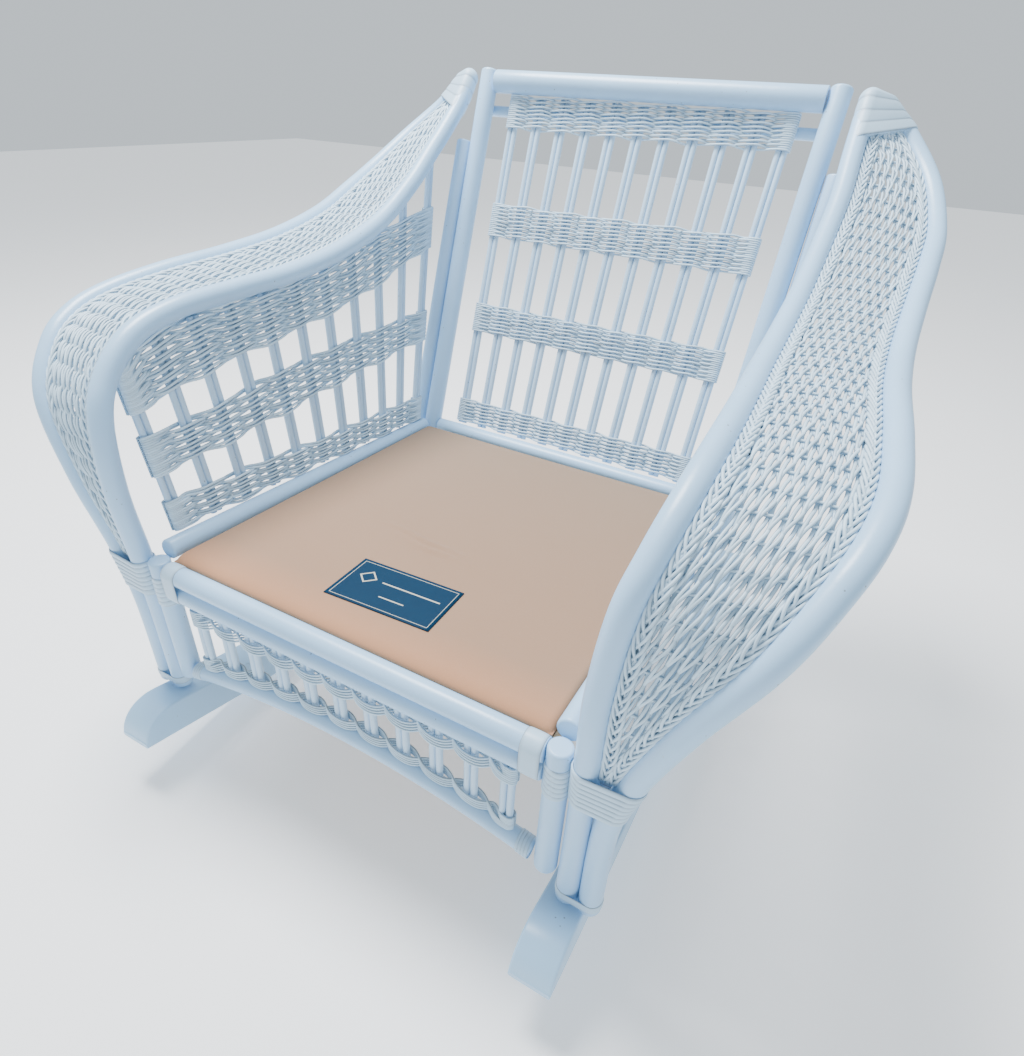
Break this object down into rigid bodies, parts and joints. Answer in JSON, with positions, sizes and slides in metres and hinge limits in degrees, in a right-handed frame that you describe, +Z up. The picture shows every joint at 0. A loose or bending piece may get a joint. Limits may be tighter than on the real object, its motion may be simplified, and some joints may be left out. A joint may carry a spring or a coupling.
{
  "type": "rattan rocking chair",
  "caption": "White-painted rattan lounge rocker: flared woven arms, spindle-and-band back, sides and apron, bare sprung fabric seat deck and bent-wood rockers.",
  "frame": {"origin": "on the floor, under the centre of the chair's bounding box, with the chair resting on the middle of its rockers", "axes": "+X to the right seen from behind the chair, +Y towards the back, +Z up"},
  "size_m": [1.0354, 0.9996, 0.9544],
  "materials": {
    "white_cane": "semi-gloss white paint over cane, slightly blue, small chips and specks",
    "rocker_paint": "semi-gloss white paint over bent wood",
    "deck_fabric": "plain tan woven cover, softly wrinkled",
    "label_cloth": "dark blue satin label with plain pale rules, no lettering",
    "frame_wood": "bare sawn wood",
    "spring_steel": "oiled spring wire"
  },
  "bodies": {
    "root": {"apron_bottom_rail": "white_cane", "apron_lower_band": "white_cane", "apron_spindles": "white_cane", "apron_upper_band": "white_cane", "arm_inner_pole_left": "white_cane", "arm_inner_pole_right": "white_cane", "arm_outer_pole_left": "white_cane", "arm_outer_pole_right": "white_cane", "arm_weave_left": "white_cane", "arm_weave_right": "white_cane", "back_band_1": "white_cane", "back_band_2": "white_cane", "back_band_3": "white_cane", "back_band_4": "white_cane", "back_brace": "white_cane", "back_post_left": "white_cane", "back_post_right": "white_cane", "back_spindles": "white_cane", "back_top_rail": "white_cane", "crown_binding_left": "white_cane", "crown_binding_right": "white_cane", "deck_cover": "deck_fabric", "deck_label": "label_cloth", "front_lower_rail": "white_cane", "front_post_left": "white_cane", "front_post_right": "white_cane", "front_upper_rail": "white_cane", "leg_binding_left": "white_cane", "leg_binding_right": "white_cane", "leg_cap_left": "white_cane", "leg_cap_right": "white_cane", "rear_post_left": "white_cane", "rear_post_right": "white_cane", "rocker_left": "rocker_paint", "rocker_right": "rocker_paint", "seat_frame_front": "frame_wood", "seat_frame_left": "frame_wood", "seat_frame_rear": "frame_wood", "seat_frame_right": "frame_wood", "seat_rear_rail": "white_cane", "seat_side_rail_left": "white_cane", "seat_side_rail_right": "white_cane", "seat_spring_1": "spring_steel", "seat_spring_2": "spring_steel", "seat_spring_3": "spring_steel", "seat_spring_4": "spring_steel", "seat_spring_5": "spring_steel", "side_bottom_band_left": "white_cane", "side_bottom_band_right": "white_cane", "side_middle_band_left": "white_cane", "side_middle_band_right": "white_cane", "side_spindles_left": "white_cane", "side_spindles_right": "white_cane", "side_top_band_left": "white_cane", "side_top_band_right": "white_cane"}
  },
  "joints": []
}
